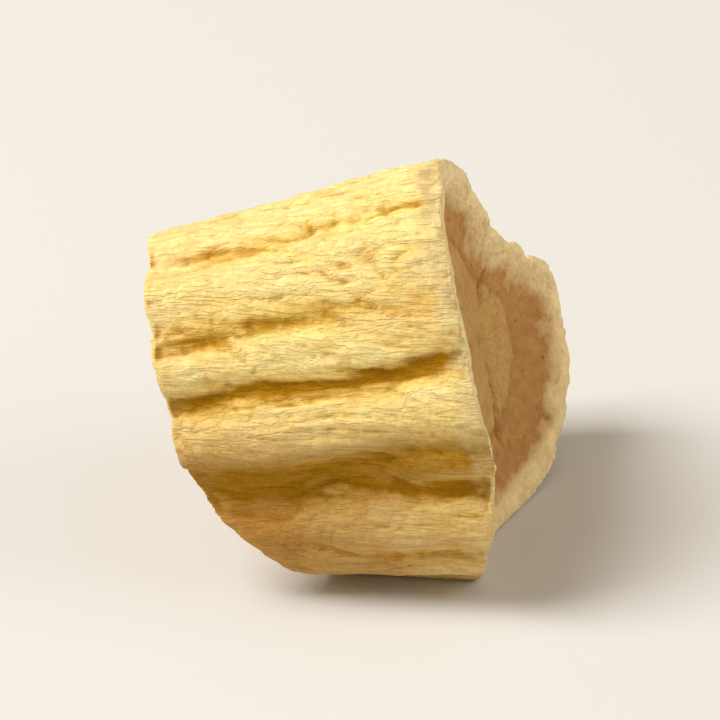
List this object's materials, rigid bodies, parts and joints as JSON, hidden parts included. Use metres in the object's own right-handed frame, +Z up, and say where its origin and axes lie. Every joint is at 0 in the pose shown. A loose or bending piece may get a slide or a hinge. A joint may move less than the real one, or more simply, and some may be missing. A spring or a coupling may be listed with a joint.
{
  "type": "dried ginseng root piece",
  "caption": "Cut chunk of dried ginseng root: ridged and furrowed golden bark, sunken pale cut faces, lying on a small flat underside.",
  "frame": {"origin": "on the surface that the piece lies on, under the middle of its outline", "axes": "+X along the root towards its wide end, +Y towards the back, +Z up; the resting flat faces -Z"},
  "size_m": [0.0112, 0.0098, 0.0111],
  "materials": {
    "dried_root": "matte"
  },
  "bodies": {
    "root": {"root_piece": "dried_root"}
  },
  "joints": []
}
